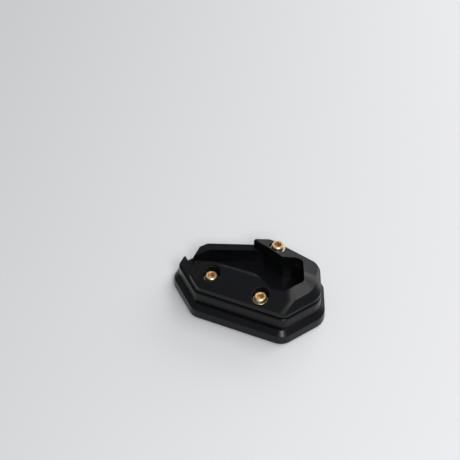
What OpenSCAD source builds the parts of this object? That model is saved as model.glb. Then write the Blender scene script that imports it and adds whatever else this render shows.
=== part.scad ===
// Foot enlarger for a side stand: a machined base plate and a faceted clamp plate that
// close round the foot of the stand, held by three taper-head screws.
// Millimetres. +X points to the toe, +Z up. The origin lies on the ground under the
// middle of the base. The near side is the one with two screws, at -Y.

/* [Base plate] */
// Overall length, heel to toe
length = 94; // [90:0.5:104]
// Overall width of the flange
width = 59; // [57:0.5:64]
// Direction that the near side of the toe faces, from the long axis
toe_near_facing = 30; // [26:0.5:33]
// Direction that the far side of the toe faces, from the long axis
toe_far_facing = 24.5; // [22:0.5:28]
// Angle of the near heel cut to the long axis
heel_angle = 42; // [38:0.5:48]
// Near half of the flat end at the heel
heel_flat_near = 10; // [8:0.5:13]
// Far half of the flat end at the heel
heel_flat_far = 3; // [1:0.5:6]
// Radius of the plan corners of the flange
flange_corner_r = 9; // [7:0.5:11]
// Radius of the tip of the flange
flange_tip_r = 12; // [9:0.5:15]
// Height of the upright side of the flange
flange_side = 6.3; // [5:0.1:8]
// Size of the sloping shoulder above the flange
shoulder = 2.8; // [2:0.1:2.9]
// How far the upper band stands in from the flange on the near side of the toe
toe_near_inset = 3.2; // [2.9:0.1:4]
// How far the upper band stands in from the flange on the far side of the toe
toe_far_inset = 2.5; // [2:0.1:4]
// How far the upper band stands in from the flange on the near side
near_inset = 4.3; // [3.5:0.1:5]
// How far the upper band stands in from the flange on the far side
far_inset = 1; // [0.7:0.1:2]
// How far the upper band stands in from the flange at the heel
heel_inset = 3; // [2.9:0.1:4]
// Height of the top of the band above the ground
band_top = 16.8; // [15:0.1:19]
// Bevel on the ground edge and on the top edge of the band
edge_bevel = 0.6; // [0.3:0.1:0.9]
// Height of the land that carries the clamp plate, above the band
land_rise = 1.4; // [0.8:0.1:2.5]
// How far the land stands in from the band
land_inset = 1.2; // [0.8:0.1:1.5]

/* [Foot pocket] */
// Thickness of the floor under the foot of the stand
pocket_floor = 8; // [6:0.5:10]
// Thickness of the wall round the heel of the pocket
heel_wall = 6.2; // [5:0.1:7]
// Radius of the corners of the pocket at the heel
pocket_corner_r = 2; // [1:0.5:4]
// How far the pocket reaches out past the opening above it
pocket_lip = 1.5; // [0.5:0.1:2]
// Place of the far end of the gap in the heel wall, across the plate
heel_gap_far = 11; // [8:0.5:13]

/* [Clamp plate] */
// Height of the upright edge of the clamp plate
lip_height = 3.6; // [3:0.1:4.5]
// Height of its upright edge at the toe, below the steep facets
toe_lip_height = 2.4; // [1.8:0.1:2.9]
// Slope of the faces that rise from the edge to the opening
face_slope = 23; // [20:0.5:26]
// Slope of the steep facets at the toe
toe_slope = 57; // [50:1:62]
// Height of the top of the steep facets above the underside of the clamp plate
crease_height = 7.2; // [6:0.1:8]
// Height of the clamp plate over all
clamp_height = 10.2; // [9:0.1:11]
// How far the heel cuts of the clamp plate stand in from the band
clamp_heel_inset = 1.2; // [0.6:0.1:2]
// Place of the heel end of the near arm along the plate
near_arm_end = -32.4; // [-35:0.1:-29]
// Place of the heel end of the far arm along the plate
far_arm_end = -8.5; // [-9.5:0.5:-2]
// Radius of the plan corners of the band and the clamp plate
band_corner_r = 6; // [4:0.5:8]
// Radius of the band and the clamp plate at the far end of the toe
toe_far_corner_r = 9; // [6:0.5:11]
// Radius of the tip of the band and the clamp plate
band_tip_r = 11; // [8:0.5:14]
// How much rounder the tip is at the top of the steep facets
tip_round_up = 4; // [0:0.5:6]

/* [Opening] */
// Distance of the near toe side of the opening from the origin
opening_toe_near = 29.6; // [28:0.1:31]
// Distance of the far toe side of the opening from the origin
opening_toe_far = 30.5; // [29:0.1:32]
// Distance of the near side of the opening from the long axis
opening_near = 13; // [11:0.1:14]
// Distance of the far wall of the opening from the origin, along the way it faces
opening_far = 2.6; // [1:0.1:4]
// Distance of the wall by the near side from the origin, along the way it faces
opening_back = 2.8; // [1:0.1:4]
// Radius of the corners of the opening at the toe
opening_toe_r = 4; // [3:0.5:6]
// Radius of the corners of the opening on the near side
opening_near_r = 8; // [5:0.5:9]
// Place along the plate where the slot for the leg begins
slot_start = 13.5; // [11:0.5:15]
// Near side of the slot, from the long axis
slot_near = 6.6; // [5:0.1:8]
// Far side of the slot where it begins, from the long axis
slot_far = 13.8; // [12:0.1:15]
// Outward turn of the near side of the slot
slot_near_turn = 2; // [0:0.5:4]
// Outward turn of the far side of the slot
slot_far_turn = 22; // [18:0.5:25]

/* [Screws] */
// Diameter of the thread
thread_d = 5; // [4:0.1:5.5]
// Length of the screws under the head
screw_length = 14; // [12:1:15]
// Diameter of the flange of the head
head_flange_d = 8.8; // [8:0.1:9.2]
// Diameter of the top of the head
head_top_d = 6.9; // [6:0.1:7.5]
// Height of the flange of the head
head_flange_h = 1; // [0.6:0.1:1.4]
// Step between the flange and the taper of the head
head_step = 0.4; // [0.2:0.1:0.6]
// Bevel round the top of the head
head_bevel = 0.4; // [0.2:0.1:0.6]
// Height of the whole head
head_h = 3.8; // [3.2:0.1:4.5]
// Width of the hexagon socket across its flats
socket_af = 4; // [3:0.1:4.2]
// Depth of the hexagon socket
socket_depth = 2.4; // [1.6:0.1:2.8]
// Diameter of the counterbores
counterbore_d = 10.4; // [9.8:0.1:10.8]
// Clearance of the screws in their holes, on the diameter
hole_clearance = 0.3; // [0.2:0.05:0.5]
// Height of the near screws' seats above the underside of the clamp plate
near_seat = 2.4; // [1.8:0.1:3.2]
// Height of the far screw's seat above the underside of the clamp plate
far_seat = 4; // [2.5:0.1:4.5]
// Space under the end of each screw
hole_run = 1; // [0.5:0.1:2]
// Place of the near screw at the heel, along the plate
near_heel_x = -19.3; // [-22:0.1:-16]
// Distance of the near screw at the heel from the near side of the flange
near_heel_side = 14.5; // [13:0.1:16]
// Place of the near screw at the toe, along the plate
near_toe_x = 13.7; // [11:0.1:16]
// Distance of the near screw at the toe from the near side of the flange
near_toe_side = 10.8; // [10.4:0.1:13]
// Place of the far screw, along the plate
far_x = 7.1; // [5:0.1:9]
// Distance of the far screw from the front of the band, less than its counterbore's radius
far_front_wall = 4.5; // [4.4:0.1:4.7]
// Distance of the far screw from the back of the band
far_back_wall = 8.4; // [7:0.1:9]

/* [Hidden] */
$fn = 64;
// Angle between one point of a rounded corner and the next
arc_step = 5;
eps = 0.01;

// The ways the sides face, from +X turning towards +Y
near_toe = -toe_near_facing;
far_toe = toe_far_facing;
far_front = 77.5;
far_back = 112;
heel_far = 146;
heel_end = 180;
heel_near = 270 - heel_angle;
near_side = 270;
// The ways the walls of the opening face
opening_far_facing = 127;
opening_back_facing = 239;

clamp_base = band_top + land_rise;
clamp_top = clamp_base + clamp_height;

// Where the lines of two sides meet, each moved in by r. A side is the way it faces,
// its distance from the origin, and the radius of the corner after it.
function meet(s, t, r) = let (p = s[1] - r, q = t[1] - r, w = sin(t[0] - s[0])) [
    (p * sin(t[0]) - q * sin(s[0])) / w,
    (q * cos(s[0]) - p * cos(t[0])) / w
];

// The outline inside the given sides, with its corners rounded, each radius less the trim
function rounded(sides, trim = 0) = [
    for (i = [0 : len(sides) - 1])
        let (s = sides[i], t = sides[(i + 1) % len(sides)], r = s[2] - trim)
        let (turn = (t[0] - s[0] + 720) % 360, c = meet(s, t, r), n = ceil(turn / arc_step))
            for (k = [0 : n]) c + r * [cos(s[0] + turn * k / n), sin(s[0] + turn * k / n)]
];

// Sides moved in by the same amount, or by an amount for each
function inward(sides, d) = [for (s = sides) [s[0], s[1] - d, s[2]]];
function inward_each(sides, d) = [
    for (i = [0 : len(sides) - 1]) [sides[i][0], sides[i][1] - d[i], sides[i][2]]
];

// Distance of a side that faces the angle a, from the origin, when it runs past a point
function past(point, a, distance) = point[0] * cos(a) + point[1] * sin(a) + distance;

// The far screw stands so that the far corner of the flange ends at half the width
far_corner = meet([far_front, far_front_wall + far_inset], [far_back, far_back_wall + far_inset],
    flange_corner_r);
far_xy = [far_x, width / 2 - flange_corner_r - far_corner[1]];
near_heel_xy = [near_heel_x, near_heel_side - width / 2];
near_toe_xy = [near_toe_x, near_toe_side - width / 2];

// The toe sides lie so that the round tip of the flange ends at half the length
tip_turn = (toe_near_facing + toe_far_facing) / 2;
tip_skew = (toe_near_facing - toe_far_facing) / 2;
toe_reach = (length / 2 - flange_tip_r) * cos(tip_turn) / cos(tip_skew) + flange_tip_r;

flange_sides = [
    [near_toe, toe_reach, flange_tip_r], [far_toe, toe_reach, flange_corner_r],
    [far_front, past(far_xy, far_front, far_front_wall + far_inset), flange_corner_r],
    [far_back, past(far_xy, far_back, far_back_wall + far_inset), flange_corner_r],
    [heel_far, past([-length / 2, heel_flat_far], heel_far, 0), flange_corner_r],
    [heel_end, length / 2, flange_corner_r],
    [heel_near, past([-length / 2, -heel_flat_near], heel_near, 0), flange_corner_r],
    [near_side, width / 2, flange_corner_r]
];

band_insets = [
    toe_near_inset, toe_far_inset, far_inset, far_inset, heel_inset, heel_inset, heel_inset,
    near_inset
];
band_radii = [
    band_tip_r, toe_far_corner_r, band_corner_r, band_corner_r, band_corner_r, band_corner_r,
    band_corner_r, band_corner_r
];
band_sides = [
    for (i = [0 : len(flange_sides) - 1])
        [flange_sides[i][0], flange_sides[i][1] - band_insets[i], band_radii[i]]
];

// The clamp plate follows the band, without its flat heel end, and stands in at the heel
clamp_sides = inward_each([for (i = [0, 1, 2, 3, 4, 6, 7]) band_sides[i]],
    [0, 0, 0, 0, clamp_heel_inset, clamp_heel_inset, 0]);

// The clamp plate's sides at a height above its underside, with a rounder tip higher up
function clamp_level(h) = let (
    toe = min(h - toe_lip_height, crease_height - toe_lip_height) / tan(toe_slope)
        + max(h - crease_height, 0) / tan(face_slope),
    rest = max(h - lip_height, 0) / tan(face_slope),
    up = min((h - toe_lip_height) / (crease_height - toe_lip_height), 1)
) [
    for (i = [0 : len(clamp_sides) - 1]) [
        clamp_sides[i][0],
        clamp_sides[i][1] - (i < 2 ? toe : rest),
        clamp_sides[i][2] + (i == 0 ? tip_round_up * up : 0)
    ]
];

module slab(sides, z, h = eps, trim = 0) {
    translate([0, 0, z]) linear_extrude(h) polygon(rounded(sides, trim));
}

// Part of the opening round the toe of the stand's foot
module bulb(grow) {
    polygon(rounded([
        [near_toe, opening_toe_near + grow, opening_toe_r],
        [far_toe, opening_toe_far + grow, opening_toe_r],
        [opening_far_facing, opening_far + grow, opening_toe_r],
        [opening_back_facing, opening_back + grow, opening_near_r],
        [near_side, opening_near + grow, opening_near_r]
    ]));
}

// The slot behind it, which opens towards the heel
module slot(grow, reach) {
    run = slot_start + reach;
    polygon([
        [slot_start, -slot_near - grow], [slot_start, slot_far + grow],
        [-reach, slot_far + grow + run * tan(slot_far_turn)],
        [-reach, -slot_near - grow - run * tan(slot_near_turn)]
    ]);
}

module opening(grow, reach) {
    bulb(grow);
    slot(grow, reach);
}

// The pocket for the foot of the stand, inside the band's walls
module pocket() {
    translate([0, 0, pocket_floor]) linear_extrude(clamp_base) intersection() {
        opening(pocket_lip, length / 2);
        polygon(rounded(inward(band_sides, heel_wall), band_corner_r - pocket_corner_r));
    }
}

// The gap in the heel wall, where the leg of the stand leaves. Its near end runs on from the
// inner face of the near heel wall.
module heel_gap_cut() {
    wall = [heel_near, band_sides[6][1] - heel_wall];
    outer = meet(wall, [heel_end, length / 2], 0);
    inner = meet(wall, [heel_end, length / 2 - heel_inset - heel_wall], 0);
    translate([0, 0, flange_side + shoulder]) linear_extrude(clamp_base)
        polygon([outer, inner, [inner[0], heel_gap_far], [outer[0], heel_gap_far]]);
}

module base_body() {
    hull() {
        slab(inward(flange_sides, edge_bevel), 0, eps, edge_bevel);
        slab(flange_sides, edge_bevel, flange_side - edge_bevel);
        slab(inward(flange_sides, shoulder), flange_side + shoulder, eps, shoulder);
    }
    hull() {
        slab(band_sides, flange_side, band_top - edge_bevel - flange_side);
        slab(inward(band_sides, edge_bevel), band_top - eps, eps, edge_bevel);
    }
    slab(inward(band_sides, land_inset), flange_side, clamp_base - flange_side, land_inset);
}

module base_plate() {
    color([0.05, 0.05, 0.055]) difference() {
        base_body();
        pocket();
        heel_gap_cut();
        screw_hole(near_heel_xy, near_seat);
        screw_hole(near_toe_xy, near_seat);
        screw_hole(far_xy, far_seat);
    }
}

// A tapped hole in the base, as deep as its screw needs
module screw_hole(xy, seat) {
    bottom = clamp_base + seat - screw_length - hole_run;
    translate([xy[0], xy[1], bottom])
        cylinder(d = thread_d + hole_clearance, h = clamp_top - bottom);
}

module clamp_body() {
    hull() {
        slab(inward(clamp_sides, edge_bevel), clamp_base, eps, edge_bevel);
        slab(clamp_sides, clamp_base + edge_bevel, toe_lip_height - edge_bevel);
        slab(clamp_level(lip_height), clamp_base + lip_height);
        slab(clamp_level(crease_height), clamp_base + crease_height);
        slab(clamp_level(clamp_height), clamp_top - eps);
    }
}

// What lies beyond the heel end of an arm, on one side of the slot
module beyond_arm(end, far) {
    translate([-length, far ? 0 : -width, clamp_base - 1])
        cube([length + end, width, clamp_height + 2]);
}

// The counterbore and the clearance hole of one screw
module seat_cut(xy, seat) {
    translate([xy[0], xy[1], clamp_base - 1])
        cylinder(d = thread_d + hole_clearance, h = clamp_top);
    translate([xy[0], xy[1], clamp_base + seat]) cylinder(d = counterbore_d, h = clamp_top);
}

module clamp_plate() {
    color([0.06, 0.06, 0.065]) difference() {
        clamp_body();
        translate([0, 0, clamp_base - 1]) linear_extrude(clamp_top) opening(0, length);
        beyond_arm(near_arm_end, false);
        beyond_arm(far_arm_end, true);
        seat_cut(near_heel_xy, near_seat);
        seat_cut(near_toe_xy, near_seat);
        seat_cut(far_xy, far_seat);
    }
}

// A taper-head screw with a hexagon socket, standing on its seat
module taper_screw(xy, seat) {
    taper_h = head_h - head_flange_h - head_bevel;
    translate([xy[0], xy[1], clamp_base + seat]) difference() {
        union() {
            translate([0, 0, -screw_length]) cylinder(d = thread_d, h = screw_length + eps);
            cylinder(d = head_flange_d, h = head_flange_h);
            translate([0, 0, head_flange_h])
                cylinder(d1 = head_flange_d - 2 * head_step, d2 = head_top_d, h = taper_h);
            translate([0, 0, head_h - head_bevel])
                cylinder(d1 = head_top_d, d2 = head_top_d - 2 * head_bevel, h = head_bevel);
        }
        translate([0, 0, head_h - socket_depth])
            cylinder(d = socket_af / cos(30), h = socket_depth + 1, $fn = 6);
    }
}

module near_heel_screw() {
    color([0.83, 0.68, 0.4]) taper_screw(near_heel_xy, near_seat);
}

module near_toe_screw() {
    color([0.83, 0.68, 0.4]) taper_screw(near_toe_xy, near_seat);
}

module far_screw() {
    color([0.83, 0.68, 0.4]) taper_screw(far_xy, far_seat);
}

base_plate();
clamp_plate();
near_heel_screw();
near_toe_screw();
far_screw();
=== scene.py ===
import math

import bmesh
import bpy
from mathutils import Matrix, Vector
from mathutils.geometry import intersect_point_line


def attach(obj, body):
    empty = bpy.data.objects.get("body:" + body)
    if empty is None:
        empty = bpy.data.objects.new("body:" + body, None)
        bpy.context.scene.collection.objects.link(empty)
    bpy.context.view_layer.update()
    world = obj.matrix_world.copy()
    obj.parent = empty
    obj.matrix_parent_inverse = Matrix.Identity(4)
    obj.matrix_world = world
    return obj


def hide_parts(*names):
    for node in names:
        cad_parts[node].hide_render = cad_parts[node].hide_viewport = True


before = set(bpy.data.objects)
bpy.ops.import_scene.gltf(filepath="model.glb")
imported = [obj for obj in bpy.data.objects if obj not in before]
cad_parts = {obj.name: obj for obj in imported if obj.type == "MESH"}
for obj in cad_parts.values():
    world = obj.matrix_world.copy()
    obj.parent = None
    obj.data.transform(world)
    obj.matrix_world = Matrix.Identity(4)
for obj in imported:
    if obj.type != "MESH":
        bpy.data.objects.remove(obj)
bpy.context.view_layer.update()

# Lengths are in metres, unless a comment says otherwise

# The photograph's view of the plate: pixels, angles in degrees, and the sensor in millimetres
IMAGE_SIZE = 460
VIEW_AZIMUTH = 24.0
VIEW_ELEVATION = 45.0
VIEW_DISTANCE = 1.2
PIXELS_PER_METRE = 1670.0
ORIGIN_PIXEL = (251.36, 296.04)
SENSOR_WIDTH = 36.0
CLIP_START = 0.01
CLIP_END = 20.0

# Cleaning of the CAD meshes: coinciding corners, faces in one plane, and slivers
WELD = 0.00001
FLAT_ANGLE = math.radians(0.5)
SLIVER = 0.0001

# Rounding of the outer edges, and the angle from which an edge counts as sharp
PLATE_EDGE_WIDTH = 0.00025
SCREW_EDGE_WIDTH = 0.0002
EDGE_SEGMENTS = 3
ROUND_PROFILE = 0.5
SHARP_ANGLE = math.radians(24)

# Room that a rounding needs, in its widths: on an edge's faces, and where it runs out along others
FACE_ROOM = 2.0
RUN_OUT = 1.5

# How straight on a rounded neighbour has to go for the rounding to carry on in it
STRAIGHT_ON = math.cos(math.radians(30))

# The turn between two faces that counts as a fold, and how near one edges stay sharp, in widths
FOLD_ANGLE = math.radians(160)
FOLD_REACH = 3.0

# The length below which the edges near a fold are left sharp before the longer ones
SHORT_EDGE = 0.002

# How far the weighted normals favour large faces: 50 is neutral and 100 is the most
FACE_WEIGHT = 100

# A screw's hexagon socket: from its axis to just past its corners, and from the top to below its floor
SOCKET_RADIUS = 0.00235
SOCKET_DEPTH = 0.003

# The noise values that are spread over a range of roughness
NOISE_SPAN = (0.3, 0.7)

# Numbers of the colour mix node's inputs and output
MIX_FACTOR, MIX_LOW, MIX_HIGH, MIX_RESULT = 0, 6, 7, 2

# Finishes, and the sockets' painted shade: colours are linear, and the scales are noise features in a
# metre
BLACK_LOW = (0.0036, 0.0039, 0.0045, 1)
BLACK_HIGH = (0.0064, 0.0068, 0.0078, 1)
BLACK_SPECULAR = 0.23
BLACK_ROUGHNESS = (0.24, 0.32)
CLOUD_SCALE, CLOUD_DETAIL = 90.0, 4.0
BLAST_SCALE, BLAST_DETAIL, BLAST_ROUGH = 5200.0, 3.0, 0.6
BLAST_HEIGHT, BLAST_STRENGTH = 0.00002, 0.5
GOLD_COLOUR = (0.95, 0.79, 0.51, 1)
# Darker gold for the screws' sockets: painted shade for the recess, since the coating is the same as
# on the heads
SOCKET_SHADE_COLOUR = (0.66, 0.41, 0.16, 1)
GOLD_ROUGHNESS = (0.3, 0.42)
TURNED_SCALE, TURNED_DETAIL = 3000.0, 2.0
TURNED_HEIGHT, TURNED_STRENGTH = 0.00001, 0.4
FLOOR_COLOUR = (0.72, 0.722, 0.73, 1)
FLOOR_ROUGHNESS = 0.45
FLOOR_SPECULAR = 0.3
FLOOR_SIZE = 6.0

# The room's light, and each soft box's name, place, facing, size and brightness
ROOM_COLOUR = (0.95, 0.97, 1.0, 1)
ROOM_STRENGTH = 0.22
SOFT_BOXES = (
    ("overhead", (0.33, 0.34, 1.0), (0, 0, -1), (0.56, 1.0), 3.6),
    ("front_right", (0.42, -0.57, 0.71), (-0.42, 0.57, -0.71), (0.3, 0.3), 16.0),
    ("behind", (0.19, 0.87, 0.45), (-0.19, -0.87, -0.45), (1.0, 0.46), 2.3),
)


def view_axes():
    """The camera's right, up and back directions in the part's frame."""
    a = math.radians(VIEW_AZIMUTH)
    e = math.radians(VIEW_ELEVATION)
    back = Vector((math.sin(a) * math.cos(e), -math.cos(a) * math.cos(e), math.sin(e)))
    right = Vector((math.cos(a), math.sin(a), 0.0))
    return right, back.cross(right), back


def make_camera():
    """A camera that puts the part's origin at its pixel, at the photograph's scale and angle."""
    right, up, back = view_axes()
    across = (ORIGIN_PIXEL[0] - IMAGE_SIZE / 2) / PIXELS_PER_METRE
    above = (IMAGE_SIZE / 2 - ORIGIN_PIXEL[1]) / PIXELS_PER_METRE
    data = bpy.data.cameras.new("camera")
    data.sensor_width = SENSOR_WIDTH
    data.lens = SENSOR_WIDTH * PIXELS_PER_METRE * VIEW_DISTANCE / IMAGE_SIZE
    data.clip_start = CLIP_START
    data.clip_end = CLIP_END
    camera = bpy.data.objects.new("camera", data)
    turn = Matrix((right, up, back)).transposed()
    place = back * VIEW_DISTANCE - right * across - up * above
    camera.matrix_world = Matrix.Translation(place) @ turn.to_4x4()
    bpy.context.scene.collection.objects.link(camera)
    bpy.context.scene.camera = camera


def new_material(name):
    material = bpy.data.materials.new(name)
    material.use_nodes = True
    tree = material.node_tree
    return material, tree, tree.nodes["Principled BSDF"]


def noise(tree, scale, detail, rough=0.5):
    """Noise fixed to the piece's own coordinates."""
    place = tree.nodes.new("ShaderNodeTexCoord")
    made = tree.nodes.new("ShaderNodeTexNoise")
    made.inputs["Scale"].default_value = scale
    made.inputs["Detail"].default_value = detail
    made.inputs["Roughness"].default_value = rough
    tree.links.new(place.outputs["Object"], made.inputs["Vector"])
    return made.outputs["Fac"]


def roughen(tree, shader, source, span):
    """Lets the noise vary the shader's roughness over the span."""
    made = tree.nodes.new("ShaderNodeMapRange")
    made.inputs["From Min"].default_value, made.inputs["From Max"].default_value = NOISE_SPAN
    made.inputs["To Min"].default_value, made.inputs["To Max"].default_value = span
    tree.links.new(source, made.inputs["Value"])
    tree.links.new(made.outputs["Result"], shader.inputs["Roughness"])


def bump(tree, shader, source, distance, strength):
    """Lets the noise tilt the shading as if it raised the surface by the distance."""
    made = tree.nodes.new("ShaderNodeBump")
    made.inputs["Distance"].default_value = distance
    made.inputs["Strength"].default_value = strength
    tree.links.new(source, made.inputs["Height"])
    tree.links.new(made.outputs["Normal"], shader.inputs["Normal"])


def black_anodised():
    """Bead-blasted aluminium under black anodising: a fine grain and a faint cloudiness."""
    material, tree, shader = new_material("black_anodised")
    shader.inputs["Specular IOR Level"].default_value = BLACK_SPECULAR
    cloud = noise(tree, CLOUD_SCALE, CLOUD_DETAIL)
    grain = noise(tree, BLAST_SCALE, BLAST_DETAIL, BLAST_ROUGH)
    colour = tree.nodes.new("ShaderNodeMix")
    colour.data_type = "RGBA"
    colour.inputs[MIX_LOW].default_value = BLACK_LOW
    colour.inputs[MIX_HIGH].default_value = BLACK_HIGH
    tree.links.new(cloud, colour.inputs[MIX_FACTOR])
    tree.links.new(colour.outputs[MIX_RESULT], shader.inputs["Base Color"])
    roughen(tree, shader, grain, BLACK_ROUGHNESS)
    bump(tree, shader, grain, BLAST_HEIGHT, BLAST_STRENGTH)
    return material


def gold_metal(name, colour):
    """Gold-coloured coating on steel, with a fine grain."""
    material, tree, shader = new_material(name)
    shader.inputs["Base Color"].default_value = colour
    shader.inputs["Metallic"].default_value = 1.0
    grain = noise(tree, TURNED_SCALE, TURNED_DETAIL)
    roughen(tree, shader, grain, GOLD_ROUGHNESS)
    bump(tree, shader, grain, TURNED_HEIGHT, TURNED_STRENGTH)
    return material


def roomy(edge, width):
    """Whether an edge is sharp, stands out and has faces wide enough to round it by the width."""
    if edge.calc_face_angle(0.0) < SHARP_ANGLE or not edge.is_convex:
        return False
    smallest = min(face.calc_area() for face in edge.link_faces)
    return smallest > FACE_ROOM * width * edge.calc_length()


def cramped(edge, chosen, width):
    """Whether a neighbour of the edge is too short for its rounding to run out along it."""
    along = (edge.verts[1].co - edge.verts[0].co).normalized()
    for end in edge.verts:
        for other in end.link_edges:
            if other is edge:
                continue
            way = other.other_vert(end).co - end.co
            goes_on = abs(way.normalized().dot(along)) > STRAIGHT_ON
            if goes_on and other in chosen:
                continue
            if (way - along * way.dot(along)).length < RUN_OUT * width:
                return True
    return False


def with_room(chosen, width):
    """The chosen edges without the cramped ones, dropped in turn."""
    while True:
        dropped = {e for e in chosen if cramped(e, chosen, width)}
        if not dropped:
            return chosen
        chosen = chosen - dropped


def near_fold(edge, point, width):
    """Whether the point of a fold lies close to the edge."""
    start, end = (v.co for v in edge.verts)
    part = intersect_point_line(point, start, end)[1]
    nearest = start.lerp(end, min(max(part, 0.0), 1.0))
    return (nearest - point).length < FOLD_REACH * width


def rounded(work, width):
    """A copy with its outer edges rounded. Those whose rounding would fold over stay sharp."""
    chosen = with_room({e for e in work.edges if roomy(e, width)}, width)
    while True:
        for edge in work.edges:
            edge.smooth = edge in chosen or edge.calc_face_angle(0.0) < SHARP_ANGLE
        trial = work.copy()
        trial.edges.ensure_lookup_table()
        bmesh.ops.bevel(trial, geom=[trial.edges[i] for i in sorted(e.index for e in chosen)],
                        offset=width, offset_type="OFFSET", segments=EDGE_SEGMENTS,
                        profile=ROUND_PROFILE, affect="EDGES", clamp_overlap=False)
        folded = [e for e in trial.edges if e.calc_face_angle(0.0) > FOLD_ANGLE]
        folds = [v.co.copy() for e in folded for v in e.verts]
        near = {e for e in chosen if any(near_fold(e, point, width) for point in folds)}
        if not near:
            return trial
        trial.free()
        short = {e for e in near if e.calc_length() < SHORT_EDGE}
        chosen = with_room(chosen - (short or near), width)


def machined(name, material, width):
    """The CAD piece with its edges rounded as a finished one's are, in place of the plain node."""
    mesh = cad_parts[name].data.copy()
    piece = bpy.data.objects.new(name + "_finished", mesh)
    bpy.context.scene.collection.objects.link(piece)
    work = bmesh.new()
    work.from_mesh(mesh)
    bmesh.ops.remove_doubles(work, verts=work.verts, dist=WELD)
    bmesh.ops.dissolve_limit(work, angle_limit=FLAT_ANGLE, verts=work.verts, edges=work.edges)
    bmesh.ops.remove_doubles(work, verts=work.verts, dist=SLIVER)
    work.edges.index_update()
    done = rounded(work, width)
    done.to_mesh(mesh)
    done.free()
    work.free()
    mesh.materials.clear()
    mesh.materials.append(material)
    for face in mesh.polygons:
        face.use_smooth = True
    bpy.context.view_layer.objects.active = piece
    piece.select_set(True)
    flat = piece.modifiers.new("flat", "WEIGHTED_NORMAL")
    flat.keep_sharp = True
    flat.weight = FACE_WEIGHT
    bpy.ops.object.modifier_apply(modifier=flat.name)
    piece.select_set(False)
    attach(piece, "root")
    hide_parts(name)
    return piece


def paint_socket_shade(screw, material):
    """Gives the walls and floor of the screw's socket a darker gold: painted shade for the recess, on
    the same coating as the head.
    """
    mesh = screw.data
    xs, ys, zs = zip(*(v.co for v in mesh.vertices))
    axis_top = Vector(((min(xs) + max(xs)) / 2, (min(ys) + max(ys)) / 2, max(zs)))
    mesh.materials.append(material)
    for face in mesh.polygons:
        corners = [mesh.vertices[i].co - axis_top for i in face.vertices]
        inside = all(math.hypot(c.x, c.y) < SOCKET_RADIUS for c in corners)
        if inside and face.center.z > axis_top.z - SOCKET_DEPTH:
            face.material_index = len(mesh.materials) - 1


def make_floor():
    """A plain pale floor under the plate, wide enough to fill the view."""
    bpy.ops.mesh.primitive_plane_add(size=FLOOR_SIZE, location=(0, 0, 0))
    floor = bpy.context.active_object
    floor.name = "floor"
    material, _, shader = new_material("floor")
    shader.inputs["Base Color"].default_value = FLOOR_COLOUR
    shader.inputs["Roughness"].default_value = FLOOR_ROUGHNESS
    shader.inputs["Specular IOR Level"].default_value = FLOOR_SPECULAR
    floor.data.materials.append(material)


def soft_box(name, place, facing, size, brightness):
    """A rectangular lamp. Its power goes with its area, so that its face is as bright at any size."""
    data = bpy.data.lights.new(name, "AREA")
    data.shape = "RECTANGLE"
    data.size, data.size_y = size
    data.energy = brightness * math.pi * size[0] * size[1]
    light = bpy.data.objects.new(name, data)
    light.location = place
    light.rotation_euler = Vector(facing).to_track_quat("-Z", "Y").to_euler()
    bpy.context.scene.collection.objects.link(light)


def make_light():
    """Soft boxes above on the right, to the front right and behind, in a dim room."""
    world = bpy.data.worlds.new("world")
    bpy.context.scene.world = world
    world.use_nodes = True
    room = world.node_tree.nodes["Background"]
    room.inputs["Color"].default_value = ROOM_COLOUR
    room.inputs["Strength"].default_value = ROOM_STRENGTH
    for box in SOFT_BOXES:
        soft_box(*box)


make_camera()
black = black_anodised()
gold = gold_metal("gold_screw", GOLD_COLOUR)
# The socket material is painted shade: the same gold coating, made darker where the recess lies in
# shade
socket_shade = gold_metal("gold_socket_painted_shade", SOCKET_SHADE_COLOUR)
for plate in ("base_plate", "clamp_plate"):
    machined(plate, black, PLATE_EDGE_WIDTH)
for screw in ("near_heel_screw", "near_toe_screw", "far_screw"):
    paint_socket_shade(machined(screw, gold, SCREW_EDGE_WIDTH), socket_shade)
make_floor()
make_light()
bpy.context.scene.view_settings.view_transform = "Standard"
